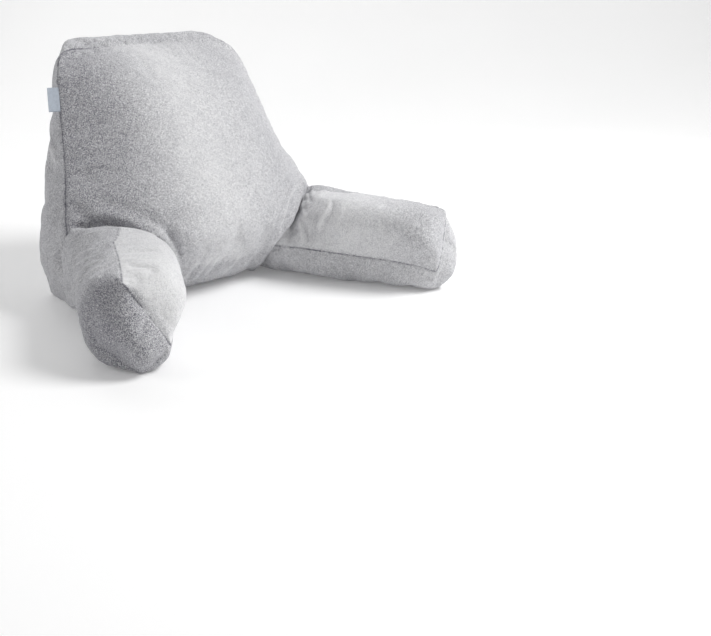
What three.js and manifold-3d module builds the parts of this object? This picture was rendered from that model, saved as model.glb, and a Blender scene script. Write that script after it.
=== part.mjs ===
// A backrest pillow: a crowned, wedge-shaped back cushion that stands on the floor, with two stuffed
// arms sewn to its lower corners and a small folded label in its side seam.
// Millimetres, +Z up. The front faces -Y and the arms reach forward and apart. The origin is on the
// flat underside of the back cushion.
import * as THREE from "three";
import { mergeVertices } from "three/addons/utils/BufferGeometryUtils.js";
import Module from "manifold-3d";

const wasm = await Module();
wasm.setup();

// The back cushion, a row for each level up its side seams, from -1 at the lowest to 1 at the top. The
// front seam joins the front panel to the side strip, and the back seam joins the strip to the back
// panel: half widths, Y and Z are theirs. Bow and lift are how far the front swings forward and up
// between its seams, and the crowns are how far the two panels swell out.
const BACK_LEVELS = rowsOf(
  ["up", "frontHalf", "frontY", "frontZ", "backHalf", "backY", "backZ", "bow", "lift", "crown", "backCrown"],
  [
    [-1, 262, -28, 26, 244, 108, 34, 100, 47, 0, 0],
    [-0.7, 268, -36, 84, 240, 116, 86, 92, 26, 22, 22],
    [-0.4, 270, -32, 145, 222, 126, 145, 66, 8, 44, 32],
    [-0.24, 260, -14, 176, 208, 131, 175, 56, 4, 50, 34],
    [0.03, 239, 19, 230, 194, 144, 227, 38, 0, 56, 32],
    [0.37, 218, 52, 299, 182, 156, 295, 22, 0, 60, 26],
    [0.68, 204, 82, 361, 170, 166, 357, 8, 0, 48, 20],
    [1, 190, 118, 428, 157, 175, 424, 0, 0, 0, 0],
  ],
);
const BOW_POWER = 2.25; // how evenly the bow and the lift fade towards the side seams
const LIFT_POWER = 4;
const CROWN_POWER = 3.6; // how far the crowns stay full towards the side seams
const FRONT_LEAN = new THREE.Vector3(0, -0.864, 0.504); // the way the front panel faces
const SIDE_STRIP = { bulge: 16, power: 10 }; // the side strip, past its two seams
const TOP_STRIP = { bulge: 17, power: 16 };
const BOTTOM_STRIP = { bulge: 60 }; // before the floor flattens it
const TOP_CORNER = { pull: 0.04, power: 18 }; // rounds the outline's corners
const BOTTOM_CORNER = { pull: 0.02, power: 12 };
const STRIP_POWER = 2; // a strip is as round as a parabola between its seams

// The puckers of the front panel beside its side seams: waves along the seam and a beat that makes
// them uneven, in radians for each level, and how fast they fade into the panel and at its ends.
const GATHERS = { wave: 20.4, beat: 11, depth: 3.5, fade: 6, edge: 20, ends: 4 };

// Each arm, a row for each section along it from the back cushion to the arm's end. S is measured out
// from the middle of the pillow and Z is the height. Low, top, out and bottom are the seams between the
// arm's panels: the front panel from low to top, the long strip from top to out, the back panel from out
// to bottom, and the strip's return from bottom to low. The swells are how far each stands out.
const ARM_SPLAY = THREE.MathUtils.degToRad(31);
const ARM_SECTIONS = rowsOf(
  ["along", "lowS", "lowZ", "topS", "topZ", "outS", "outZ", "bottomS", "bottomZ"],
  [
    [70, 90, 60, 196, 118, 214, 14, 130, 8],
    [130, 60, 66, 202, 142, 214, 10, 112, -4],
    [165, 53, 66, 200, 149, 214, 12, 110, -5],
    [200, 53, 66, 178, 156, 210, 22, 108, -6],
    [250, 54, 63, 148, 160, 204, 38, 106, -6],
    [350, 56, 58, 134, 156, 196, 54, 105, -4],
    [420, 57, 51, 130, 150, 191, 60, 104, -2],
    [460, 60, 40, 129, 142, 186, 62, 104, -2],
  ],
);
const ARM_SWELLS = rowsOf(
  ["along", "front", "top", "back", "low"],
  [
    [70, 16, 6, 4, 6],
    [165, 20, 8, 6, 10],
    [200, 34, 14, 12, 14],
    [250, 46, 20, 18, 16],
    [300, 54, 20, 24, 16],
    [460, 60, 22, 28, 19],
  ],
);
const ARM_END = { draw: 0.96, drawPower: 14, bulge: 27, slant: 35 };
const ARM_CORNER = { pull: 0.022, power: 3 };
const ARM_END_CROWDING = 0.6; // how much closer the arm's sections lie towards its ends
const ARM_FRONT_POWER = 2.6; // how full the arm's panels stay towards their seams
const ARM_TOP_POWER = 3;
const ARM_PANEL_POWER = 2;
const ARM_END_POWER = 4;

// The label, a folded tape caught in the left front seam. Up is its place on the seam.
const LABEL = { upFrom: 0.54, upTo: 0.74, width: 22, thick: 1.2, rootInside: 4, curl: 2.5 };
const LABEL_OUT = new THREE.Vector3(-0.87, 0.49, 0); // the way it stands out of the seam

const FLOOR_SOFTNESS = 6; // the height over which a panel eases into its flat spot on the floor
const SEAM_GAP = 0.4; // between pieces that are sewn together
const BACK_GRID = [32, 6, 30];
const ARM_GRID = [24, 10, 8];
const LABEL_GRID = [6, 1, 10];
const MERGE_DISTANCE = 1e-5; // of the grid's corners on the cube, which is 2 across
const SNAP_DISTANCE = 1e-6;

const COLOURS = { cloth: 0xc4c4c9, label: 0xdfe4ea };

function rowsOf(columns, rows) {
  return rows.map((row) => Object.fromEntries(columns.map((column, i) => [column, row[i]])));
}

// A smooth value of one column at position t, from rows sorted by the key column.
function columnAt(rows, key, column, t) {
  const last = rows.length - 1;
  let i = 0;
  while (i < last - 1 && t > rows[i + 1][key]) i += 1;
  const span = rows[i + 1][key] - rows[i][key];
  const slope = (j) => {
    const a = Math.max(j - 1, 0);
    const b = Math.min(j + 1, last);
    return (rows[b][column] - rows[a][column]) / (rows[b][key] - rows[a][key]);
  };
  const u = THREE.MathUtils.clamp((t - rows[i][key]) / span, 0, 1);
  const u2 = u * u;
  const u3 = u2 * u;
  return (
    (2 * u3 - 3 * u2 + 1) * rows[i][column] +
    (u3 - 2 * u2 + u) * span * slope(i) +
    (3 * u2 - 2 * u3) * rows[i + 1][column] +
    (u3 - u2) * span * slope(i + 1)
  );
}

// Lays the underside flat on the floor, easing in over the last few millimetres.
function settle(z) {
  if (z > FLOOR_SOFTNESS) return z;
  if (z < -FLOOR_SOFTNESS) return 0;
  return (z + FLOOR_SOFTNESS) ** 2 / (4 * FLOOR_SOFTNESS);
}

const roundOff = (s, corner) => 1 - corner.pull * Math.abs(s) ** corner.power;
const fullness = (s, power) => 1 - Math.abs(s) ** power;

// How deep the puckers beside the side seams are: uneven waves up the seam that fade into the panel.
function gather(across, up) {
  const wave = Math.sin(GATHERS.wave * up) * Math.cos(GATHERS.beat * up + across);
  const nearSeam = Math.abs(across) ** GATHERS.fade * fullness(across, GATHERS.edge);
  return GATHERS.depth * wave * nearSeam * fullness(up, GATHERS.ends);
}

// A point of the back cushion's surface. The arguments run from -1 to 1 over a cube: across from left
// to right, deep from the front panel to the back one, and high from the bottom strip to the top one.
function backPoint(across, deep, high) {
  const corner = high > 0 ? TOP_CORNER : BOTTOM_CORNER;
  const up = high * roundOff(across, corner);
  const out = across * roundOff(high, corner);
  const at = (column) => columnAt(BACK_LEVELS, "up", column, up);
  const front = new THREE.Vector3(
    at("frontHalf") * out,
    at("frontY") - at("bow") * fullness(across, BOW_POWER),
    at("frontZ") + at("lift") * fullness(across, LIFT_POWER),
  );
  const back = new THREE.Vector3(at("backHalf") * out, at("backY"), at("backZ"));
  const point = front.clone().lerp(back, (deep + 1) / 2);
  const strip = fullness(deep, STRIP_POWER);
  if (Math.abs(across) === 1) {
    point.x += Math.sign(across) * SIDE_STRIP.bulge * strip * fullness(high, SIDE_STRIP.power);
  }
  if (high === 1) point.z += TOP_STRIP.bulge * strip * fullness(across, TOP_STRIP.power);
  if (high === -1) point.z -= BOTTOM_STRIP.bulge * strip;
  const panel = fullness(across, CROWN_POWER);
  if (deep === -1) point.addScaledVector(FRONT_LEAN, at("crown") * panel - gather(across, up));
  if (deep === 1) point.y += at("backCrown") * panel;
  point.z = settle(point.z);
  return point;
}

// A point of the right arm's surface. Along runs from the root to the end, wide from the low seam to
// the top seam, and deep from the back panel to the front one, each from -1 to 1.
function armPoint(along, wide, deep) {
  const first = ARM_SECTIONS[0].along;
  const last = ARM_SECTIONS[ARM_SECTIONS.length - 1].along;
  const share = ((along > 0 ? along * roundOff(wide, ARM_CORNER) : along) + 1) / 2;
  const w = ((along > 0 ? wide * roundOff(along, ARM_CORNER) : wide) + 1) / 2;
  const d = (deep + 1) / 2;
  const reach = first + share * (last - first);
  const corner = (name) =>
    new THREE.Vector2(
      columnAt(ARM_SECTIONS, "along", name + "S", reach),
      columnAt(ARM_SECTIONS, "along", name + "Z", reach),
    );
  const [low, top, out, bottom] = ["low", "top", "out", "bottom"].map(corner);
  const section = bottom.clone().lerp(out, w).lerp(low.clone().lerp(top, w), d);
  const drawnIn = along > 0 ? 1 - ARM_END.draw * along ** ARM_END.drawPower : 1;
  const swell = (name, from, to, amount) => {
    const away = new THREE.Vector2(from.y - to.y, to.x - from.x).normalize();
    section.addScaledVector(away, columnAt(ARM_SWELLS, "along", name, reach) * amount * drawnIn);
  };
  if (deep === 1) swell("front", low, top, fullness(wide, ARM_FRONT_POWER));
  if (wide === 1) swell("top", top, out, fullness(deep, ARM_TOP_POWER));
  if (deep === -1) swell("back", out, bottom, fullness(wide, ARM_PANEL_POWER));
  if (wide === -1) swell("low", bottom, low, fullness(deep, ARM_PANEL_POWER));
  const slant = ARM_END.slant * (1 - d) * w * share ** 2;
  const endCap = fullness(deep, ARM_PANEL_POWER) * fullness(wide, ARM_END_POWER);
  const distance = reach - slant + (along === 1 ? ARM_END.bulge * endCap : 0);
  return new THREE.Vector3(
    Math.sin(ARM_SPLAY) * distance + Math.cos(ARM_SPLAY) * section.x,
    -Math.cos(ARM_SPLAY) * distance + Math.sin(ARM_SPLAY) * section.x,
    settle(section.y),
  );
}

// A point of the label. Width runs from the seam outwards, side through its thickness, and high up it.
function labelPoint(width, side, high) {
  const up = THREE.MathUtils.lerp(LABEL.upFrom, LABEL.upTo, (high + 1) / 2);
  const share = (width + 1) / 2;
  const reach = THREE.MathUtils.lerp(-LABEL.rootInside, LABEL.width, share);
  const face = new THREE.Vector3(-LABEL_OUT.y, LABEL_OUT.x, 0).normalize();
  return backPoint(-1, -1, up)
    .addScaledVector(LABEL_OUT, reach)
    .addScaledVector(face, (side * LABEL.thick) / 2 + LABEL.curl * share ** 2);
}

// A cube of grid cells with every point moved onto the surface, as one closed geometry.
function shaped(cells, surface) {
  const box = new THREE.BoxGeometry(2, 2, 2, ...cells);
  box.deleteAttribute("normal");
  box.deleteAttribute("uv");
  const geometry = mergeVertices(box, MERGE_DISTANCE);
  const position = geometry.getAttribute("position");
  const snap = (v) => (Math.abs(Math.abs(v) - 1) < SNAP_DISTANCE ? Math.sign(v) : v);
  for (let i = 0; i < position.count; i += 1) {
    const p = surface(snap(position.getX(i)), snap(position.getY(i)), snap(position.getZ(i)));
    position.setXYZ(i, p.x, p.y, p.z);
  }
  return geometry;
}

function solidOf(geometry) {
  return new wasm.Manifold(
    new wasm.Mesh({
      numProp: 3,
      vertProperties: geometry.getAttribute("position").array,
      triVerts: new Uint32Array(geometry.index.array),
    }),
  );
}

function geometryOf(solid) {
  const mesh = solid.getMesh();
  return new THREE.BufferGeometry()
    .setAttribute("position", new THREE.BufferAttribute(mesh.vertProperties, 3))
    .setIndex(new THREE.BufferAttribute(mesh.triVerts, 1));
}

// The same closed surface with each point moved out along its normal.
function swollen(geometry, distance) {
  const copy = geometry.clone();
  copy.computeVertexNormals();
  const position = copy.getAttribute("position");
  const normal = copy.getAttribute("normal");
  for (let i = 0; i < position.count; i += 1) {
    position.setXYZ(
      i,
      position.getX(i) + normal.getX(i) * distance,
      position.getY(i) + normal.getY(i) * distance,
      position.getZ(i) + normal.getZ(i) * distance,
    );
  }
  return copy;
}

// What is left of a piece where it meets the back cushion: its largest part outside, a seam gap away.
function trimmed(geometry, cushion) {
  const kept = solidOf(geometry).subtract(solidOf(swollen(cushion, SEAM_GAP)));
  const parts = kept.decompose().sort((a, b) => b.volume() - a.volume());
  return geometryOf(parts[0]);
}

function backCushion() {
  return shaped(BACK_GRID, backPoint);
}

// Side is 1 for the right arm and -1 for the left one, its mirror image.
function arm(side) {
  return shaped(ARM_GRID, (x, y, z) => {
    const along = x + (ARM_END_CROWDING / Math.PI) * Math.sin(Math.PI * x);
    const p = armPoint(along, side * y, z);
    p.x *= side;
    return p;
  });
}

function label() {
  return shaped(LABEL_GRID, labelPoint);
}

function meshOf(name, geometry, color) {
  const material = new THREE.MeshStandardMaterial({ color, roughness: 0.95, metalness: 0 });
  const mesh = new THREE.Mesh(geometry, material);
  mesh.name = name;
  return mesh;
}

const pillow = new THREE.Group();
const cushion = backCushion();
pillow.add(meshOf("back_cushion", cushion, COLOURS.cloth));
pillow.add(meshOf("arm_left", trimmed(arm(-1), cushion), COLOURS.cloth));
pillow.add(meshOf("arm_right", trimmed(arm(1), cushion), COLOURS.cloth));
pillow.add(meshOf("side_label", trimmed(label(), cushion), COLOURS.label));

export default pillow;
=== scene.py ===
import math

import bmesh
import bpy
import numpy as np
from mathutils import Matrix, Vector
from mathutils.bvhtree import BVHTree
from mathutils.kdtree import KDTree


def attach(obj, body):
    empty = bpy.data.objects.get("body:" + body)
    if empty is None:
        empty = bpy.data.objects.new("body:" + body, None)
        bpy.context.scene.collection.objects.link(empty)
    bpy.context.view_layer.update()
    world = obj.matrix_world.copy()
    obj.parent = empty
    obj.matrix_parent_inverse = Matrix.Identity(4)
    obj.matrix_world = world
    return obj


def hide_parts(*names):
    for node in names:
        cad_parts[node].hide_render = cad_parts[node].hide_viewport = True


# A backrest pillow in soft short-pile plush: a crowned, wedge-shaped back cushion with stuffed arms.
# Its seams, panels and arms are shaped in millimetres by named values close to those of the solids,
# then the cloth is blown up by a simulation, and its seams, puckers and folds are worked in.
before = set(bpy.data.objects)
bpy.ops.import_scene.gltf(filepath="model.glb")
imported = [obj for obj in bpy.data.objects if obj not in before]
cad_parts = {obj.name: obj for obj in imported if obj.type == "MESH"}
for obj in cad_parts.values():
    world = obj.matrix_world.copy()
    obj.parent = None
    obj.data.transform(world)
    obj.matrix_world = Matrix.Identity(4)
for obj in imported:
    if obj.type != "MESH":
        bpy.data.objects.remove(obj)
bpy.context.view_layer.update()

MM = 0.001


def table(columns, rows):
    return dict(zip(columns.split(), np.array(rows, float).T))


# The back cushion: a row for each level up its side seams, from -1 at the lowest to 1 at the top.
BACK_LEVELS = table(
    "up frontHalf frontY frontZ backHalf backY backZ bow lift crown backCrown",
    [
        [-1, 262, -28, 26, 244, 108, 34, 100, 47, 0, 0],
        [-0.7, 268, -36, 84, 240, 116, 86, 92, 26, 22, 22],
        [-0.4, 270, -32, 145, 222, 126, 145, 66, 8, 44, 32],
        [-0.24, 260, -14, 176, 208, 131, 175, 56, 4, 50, 34],
        [0.03, 239, 19, 230, 194, 144, 227, 38, 0, 56, 32],
        [0.37, 223, 52, 299, 182, 156, 295, 22, 0, 60, 26],
        [0.68, 209, 82, 361, 168, 166, 357, 8, 0, 48, 20],
        [1, 190, 118, 428, 157, 175, 424, 0, 0, 0, 0],
    ],
)
BOW_POWER = 2.25
LIFT_POWER = 4
CROWN_POWER = 2.7
FRONT_LEAN = np.array([0, -0.864, 0.504])  # the way the front panel faces
SIDE_STRIP = (16, 10)  # how far a strip swells past its seams, and how sharply at its ends
SIDE_STRIP_TAPER = (0.85, 0.6)  # the share of it lost further up, and the level where it is lost
TOP_STRIP = (17, 16)
BOTTOM_BULGE = 60
TOP_CORNER = (0.04, 18)  # rounds the outline's corners: how much, and how sharply
BOTTOM_CORNER = (0.02, 12)
STRIP_POWER = 2

# Each arm: a row for each section along it, with the seams between its panels and their swells.
ARM_SPLAY = math.radians(31)
ARM_SECTIONS = table(
    "along lowS lowZ topS topZ outS outZ bottomS bottomZ",
    [
        [70, 90, 60, 210, 120, 218, 14, 130, 8],
        [130, 60, 66, 216, 144, 218, 10, 112, -4],
        [165, 53, 66, 210, 150, 216, 12, 110, -5],
        [200, 53, 66, 182, 156, 210, 22, 108, -6],
        [250, 54, 63, 148, 160, 204, 38, 106, -6],
        [350, 56, 58, 134, 156, 196, 54, 105, -4],
        [420, 57, 51, 130, 150, 191, 60, 104, -2],
        [460, 60, 40, 129, 142, 186, 62, 104, -2],
    ],
)
ARM_SWELLS = table(
    "along front top back low",
    [
        [70, 16, 6, 4, 6],
        [165, 20, 8, 6, 10],
        [200, 34, 14, 12, 14],
        [250, 46, 20, 18, 16],
        [300, 54, 20, 24, 16],
        [460, 60, 22, 28, 19],
    ],
)
ARM_DRAW = (0.96, 14)  # the share of the swells that the end seams take away, and how sharply
ARM_END_BULGE = 27
ARM_END_SLANT = 35  # how much sooner the arm ends on its outer side
ARM_CORNER = (0.022, 3)  # rounds the end's corners: how much, and how sharply
ARM_FRONT_POWER = 2.6
ARM_TOP_POWER = 3
ARM_PANEL_POWER = 2
ARM_END_POWER = 4

FLOOR_SOFTNESS = 6
BACK_GRID = (94, 20, 80)
ARM_GRID = (74, 34, 28)
ARM_CROWDING = 0.6  # how much the grid's rows crowd at the root and the end
SIDES = {"left": -1, "right": 1}
MIRRORED_FOLDS = 0.7  # how strongly each arm repeats the folds of the other


def column_at(rows, key, column, t):
    """A smooth value of one column at t, from rows sorted by the key column."""
    keys, values = rows[key], rows[column]
    last = len(keys) - 1
    before = np.maximum(np.arange(last + 1) - 1, 0)
    after = np.minimum(np.arange(last + 1) + 1, last)
    slope = (values[after] - values[before]) / (keys[after] - keys[before])
    i = np.searchsorted(keys[1:last], t, side="left")
    span = keys[i + 1] - keys[i]
    u = np.clip((t - keys[i]) / span, 0, 1)
    u2, u3 = u * u, u * u * u
    return (
        (2 * u3 - 3 * u2 + 1) * values[i]
        + (u3 - 2 * u2 + u) * span * slope[i]
        + (3 * u2 - 2 * u3) * values[i + 1]
        + (u3 - u2) * span * slope[i + 1]
    )


def settle(z):
    """Lays the underside flat on the floor, easing in over the last few millimetres."""
    eased = (z + FLOOR_SOFTNESS) ** 2 / (4 * FLOOR_SOFTNESS)
    return np.where(z > FLOOR_SOFTNESS, z, np.where(z < -FLOOR_SOFTNESS, 0, eased))


def round_off(s, corner):
    return 1 - corner[0] * np.abs(s) ** corner[1]


def fullness(s, power):
    return 1 - np.abs(s) ** power


def smooth(t):
    t = np.clip(t, 0, 1)
    return t * t * (3 - 2 * t)


def back_points(p):
    """Points of the back cushion in millimetres, from points of a cube from -1 to 1."""
    across, deep, high = p[:, 0], p[:, 1], p[:, 2]
    top = round_off(across, TOP_CORNER)
    bottom = round_off(across, BOTTOM_CORNER)
    up = high * np.where(high > 0, top, bottom)
    out = across * np.where(high > 0, round_off(high, TOP_CORNER), round_off(high, BOTTOM_CORNER))
    at = {name: column_at(BACK_LEVELS, "up", name, up) for name in BACK_LEVELS}
    front = np.stack(
        [
            at["frontHalf"] * out,
            at["frontY"] - at["bow"] * fullness(across, BOW_POWER),
            at["frontZ"] + at["lift"] * fullness(across, LIFT_POWER),
        ],
        1,
    )
    back = np.stack([at["backHalf"] * out, at["backY"], at["backZ"]], 1)
    d = ((deep + 1) / 2)[:, None]
    point = front * (1 - d) + back * d
    strip = fullness(deep, STRIP_POWER)
    side = np.where(np.abs(across) == 1, np.sign(across), 0)
    tapered = 1 - SIDE_STRIP_TAPER[0] * smooth(up / SIDE_STRIP_TAPER[1])
    point[:, 0] += side * SIDE_STRIP[0] * strip * fullness(high, SIDE_STRIP[1]) * tapered
    point[:, 2] += (high == 1) * TOP_STRIP[0] * strip * fullness(across, TOP_STRIP[1])
    point[:, 2] -= (high == -1) * BOTTOM_BULGE * strip
    panel = fullness(across, CROWN_POWER)
    point += ((deep == -1) * at["crown"] * panel)[:, None] * FRONT_LEAN
    point[:, 1] += (deep == 1) * at["backCrown"] * panel
    point[:, 2] = settle(point[:, 2])
    return point


def arm_points(p):
    """Points of the right arm in millimetres: along, wide and deep, each from -1 to 1."""
    along, wide, deep = p[:, 0], p[:, 1], p[:, 2]
    ahead = along > 0
    share = (np.where(ahead, along * round_off(wide, ARM_CORNER), along) + 1) / 2
    w = (np.where(ahead, wide * round_off(along, ARM_CORNER), wide) + 1) / 2
    d = (deep + 1) / 2
    first, last = ARM_SECTIONS["along"][0], ARM_SECTIONS["along"][-1]
    reach = first + share * (last - first)

    def corner(name):
        columns = [column_at(ARM_SECTIONS, "along", name + c, reach) for c in "SZ"]
        return np.stack(columns, 1)

    low, top, out, bottom = (corner(name) for name in ("low", "top", "out", "bottom"))
    outer = bottom + (out - bottom) * w[:, None]
    inner = low + (top - low) * w[:, None]
    section = outer + (inner - outer) * d[:, None]
    drawn_in = np.where(ahead, 1 - ARM_DRAW[0] * np.abs(along) ** ARM_DRAW[1], 1)

    def swell(name, start, end, amount):
        away = np.stack([start[:, 1] - end[:, 1], end[:, 0] - start[:, 0]], 1)
        away /= np.linalg.norm(away, axis=1)[:, None]
        size = column_at(ARM_SWELLS, "along", name, reach) * amount * drawn_in
        return away * size[:, None]

    section = section + swell("front", low, top, (deep == 1) * fullness(wide, ARM_FRONT_POWER))
    section = section + swell("top", top, out, (wide == 1) * fullness(deep, ARM_TOP_POWER))
    section = section + swell("back", out, bottom, (deep == -1) * fullness(wide, ARM_PANEL_POWER))
    section = section + swell("low", bottom, low, (wide == -1) * fullness(deep, ARM_PANEL_POWER))
    slant = ARM_END_SLANT * (1 - d) * w * share**2
    cap = fullness(deep, ARM_PANEL_POWER) * fullness(wide, ARM_END_POWER)
    distance = reach - slant + (along == 1) * ARM_END_BULGE * cap
    s, c = math.sin(ARM_SPLAY), math.cos(ARM_SPLAY)
    x = s * distance + c * section[:, 0]
    y = -c * distance + s * section[:, 0]
    return np.stack([x, y, settle(section[:, 1])], 1)


def cube_grid(counts, crowding=(0, 0, 0)):
    """Points and outward quads of a cube's surface from -1 to 1, with that many cells each way."""
    nx, ny, nz = counts
    steps = np.meshgrid(np.arange(nx + 1), np.arange(ny + 1), np.arange(nz + 1), indexing="ij")
    shell = np.zeros(steps[0].shape, bool)
    for step, n in zip(steps, counts):
        shell |= (step == 0) | (step == n)
    ids = np.full(shell.shape, -1)
    ids[shell] = np.arange(shell.sum())
    points = np.stack([step[shell] * 2 / n - 1 for step, n in zip(steps, counts)], 1)
    for axis, crowd in enumerate(crowding):
        points[:, axis] += crowd / math.pi * np.sin(math.pi * points[:, axis])
    points = np.where(np.abs(np.abs(points) - 1) < 1e-9, np.sign(points), points)

    def quads(a, flip):
        q = np.stack([a[:-1, :-1], a[1:, :-1], a[1:, 1:], a[:-1, 1:]], -1).reshape(-1, 4)
        return q[:, ::-1] if flip else q

    faces = [
        quads(ids[-1], False),
        quads(ids[0], True),
        quads(ids[:, -1], True),
        quads(ids[:, 0], False),
        quads(ids[:, :, -1], False),
        quads(ids[:, :, 0], True),
    ]
    return points, np.concatenate(faces)


def mesh_object(name, points, faces):
    mesh = bpy.data.meshes.new(name)
    mesh.from_pydata(points.tolist(), [], faces.tolist())
    mesh.update()
    obj = bpy.data.objects.new(name, mesh)
    bpy.context.scene.collection.objects.link(obj)
    return obj


def coords(mesh):
    co = np.empty(len(mesh.vertices) * 3, np.float32)
    mesh.vertices.foreach_get("co", co)
    return co.reshape(-1, 3).astype(float)


def normals(mesh):
    no = np.empty(len(mesh.vertices) * 3, np.float32)
    mesh.vertices.foreach_get("normal", no)
    return no.reshape(-1, 3).astype(float)


def put_coords(mesh, co):
    mesh.vertices.foreach_set("co", co.astype(np.float32).ravel())
    mesh.update()


def put_attribute(mesh, name, values):
    attribute = mesh.attributes.get(name) or mesh.attributes.new(name, "FLOAT", "POINT")
    attribute.data.foreach_set("value", np.asarray(values, np.float32))


def get_attribute(mesh, name):
    values = np.empty(len(mesh.vertices), np.float32)
    mesh.attributes[name].data.foreach_get("value", values)
    return values.astype(float)


def with_modifiers(obj):
    """The object's mesh with its modifiers worked in, at the present frame."""
    bpy.context.view_layer.update()
    shown = obj.evaluated_get(bpy.context.evaluated_depsgraph_get())
    return bpy.data.meshes.new_from_object(shown)


# The cloth simulation: pressure from inside against seams that stay where they are sewn.
FRAMES = 22
GROWTH = 0.035  # how much more cloth there is than the flat panels need
BACK_PRESSURE, BACK_CAP = 2.0, 12 * MM
ARM_PRESSURE, ARM_CAP = 2.5, 9 * MM


def blow_up(obj, held, pressure, cap):
    """Fills the cover: held says how firmly each point is kept, and cap how far it may move."""
    mesh = obj.data
    start = coords(mesh)
    pins = obj.vertex_groups.new(name="held")
    for level in np.unique(held):
        if level > 0:
            pins.add(np.flatnonzero(held == level).tolist(), float(level), "REPLACE")
    modifier = obj.modifiers.new("Cloth", "CLOTH")
    cloth = modifier.settings
    cloth.quality = 6
    cloth.mass = 0.15
    cloth.use_pressure = True
    cloth.uniform_pressure_force = pressure
    cloth.tension_stiffness = 18
    cloth.compression_stiffness = 12
    cloth.shear_stiffness = 6
    cloth.bending_stiffness = 0.8
    cloth.air_damping = 2
    cloth.effector_weights.gravity = 0
    cloth.vertex_group_mass = "held"
    cloth.shrink_min = -GROWTH
    modifier.collision_settings.use_collision = False
    modifier.point_cache.frame_start = 1
    modifier.point_cache.frame_end = FRAMES
    scene = bpy.context.scene
    for step in range(1, FRAMES + 1):
        scene.frame_set(step)
    blown = with_modifiers(obj)
    moved = coords(blown) - start
    bpy.data.meshes.remove(blown)
    obj.modifiers.clear()
    obj.vertex_groups.clear()
    scene.frame_set(1)
    length = np.linalg.norm(moved, axis=1)
    limit = cap * np.tanh(length / cap)
    moved *= (limit / np.maximum(length, 1e-9))[:, None]
    put_coords(mesh, start + moved)


def refine(obj):
    """One level of subdivision, applied."""
    modifier = obj.modifiers.new("Finer", "SUBSURF")
    modifier.levels = 1
    modifier.render_levels = 1
    finer = with_modifiers(obj)
    obj.modifiers.clear()
    old = obj.data
    obj.data = finer
    finer.name = obj.name
    bpy.data.meshes.remove(old)


# Value noise on a line and in space, always the same for the same seed.
LINE_LATTICE = 512
SPACE_LATTICE = 32
LATTICE_SHIFT = 1000  # keeps the numbers of the cells above zero


def line_noise(t, seed):
    lattice = np.random.default_rng(seed).uniform(-1, 1, LINE_LATTICE)
    i = np.floor(t).astype(int)
    u = smooth(t - i)
    return lattice[i % LINE_LATTICE] * (1 - u) + lattice[(i + 1) % LINE_LATTICE] * u


def space_noise(p, size, seed):
    """Smooth noise from -1 to 1 whose lumps are size across."""
    lattice = np.random.default_rng(seed).uniform(-1, 1, (SPACE_LATTICE,) * 3)
    q = p / size + LATTICE_SHIFT
    i = np.floor(q).astype(int)
    u = smooth(q - i)
    total = np.zeros(len(p))
    for corner in range(8):
        offset = np.array([corner & 1, (corner >> 1) & 1, (corner >> 2) & 1])
        weight = np.prod(np.where(offset, u, 1 - u), axis=1)
        j = (i + offset) % SPACE_LATTICE
        total += weight * lattice[j[:, 0], j[:, 1], j[:, 2]]
    return total


def lumps(co, rows, seed):
    """Uneven lumps: a row for each size, with its height and size in millimetres."""
    total = np.zeros(len(co))
    for k, (height, size) in enumerate(rows):
        total += height * MM * space_noise(co, size * MM, seed + k)
    return total


SEAM_STEP = 0.0007  # metres between the points by which a seam is measured


class Seam:
    """A sewn line through space, given by points in order, closed or open."""

    def __init__(self, points, closed):
        chain = np.vstack([points, points[:1]]) if closed else np.asarray(points)
        lengths = np.linalg.norm(np.diff(chain, axis=0), axis=1)
        self.total = lengths.sum()
        along = np.concatenate([[0], np.cumsum(lengths)])
        count = int(self.total / SEAM_STEP)
        self.s = np.linspace(0, self.total, count)
        self.points = np.stack([np.interp(self.s, along, chain[:, k]) for k in range(3)], 1)
        self.tree = KDTree(count)
        for i, q in enumerate(self.points):
            self.tree.insert(q, i)
        self.tree.balance()

    def near(self, co, reach):
        """For each point, its distance to the seam and the place on it, where within reach."""
        lo, hi = self.points.min(0) - reach, self.points.max(0) + reach
        inside = np.flatnonzero(np.all((co > lo) & (co < hi), axis=1))
        distance = np.full(len(co), reach)
        place = np.zeros(len(co))
        for i in inside:
            _, j, d = self.tree.find(co[i])
            if d < reach:
                distance[i] = d
                place[i] = self.s[j]
        return distance, place


def rim(co, test, order):
    """The points of a grid that pass a test, in order of a value."""
    found = np.flatnonzero(test)
    found = found[np.argsort(order[found])]
    return co[found]


# The puckers and grooves beside a seam.
SEAM_DEPTH = 1.2 * MM
ARM_SEAM_DEPTH = 0.7 * MM
SEAM_WIDTH = 2.6 * MM
PUCKER_REACH = 20 * MM
PUCKER_PITCH = 13 * MM
PUCKER_DETAIL = (0.6, 2.3)  # a finer wave on the puckers: its share of their height, and its rate
PUCKER_PATCH = 0.07  # the metres of a seam over which puckers come and go
PUCKER_START = 2 * MM


def seam_dip(distance, place, seed, depth=0.0, pucker=1.0, pitch=PUCKER_PITCH, reach=PUCKER_REACH):
    """How far a point beside a seam sinks: a narrow groove, and uneven puckers across it."""
    groove = depth * np.exp(-((distance / SEAM_WIDTH) ** 2))
    share, rate = PUCKER_DETAIL
    wave = line_noise(place / pitch, seed) + share * line_noise(place / pitch * rate, seed + 1)
    patch = smooth(0.5 + 1.1 * line_noise(place / PUCKER_PATCH, seed + 2))
    fade = np.exp(-distance / reach) * smooth(distance / PUCKER_START)
    return groove + pucker * MM * wave * patch * fade


def bvh_of(obj):
    mesh = obj.data
    faces = [tuple(p.vertices) for p in mesh.polygons]
    return BVHTree.FromPolygons([tuple(c) for c in coords(mesh)], faces)


def gap_outside(tree, point):
    """How far a point is outside a closed surface, or inside it when negative."""
    nearest, normal, _, distance = tree.find_nearest(Vector(point))
    return distance if (Vector(point) - nearest).dot(normal) > 0 else -distance


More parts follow.
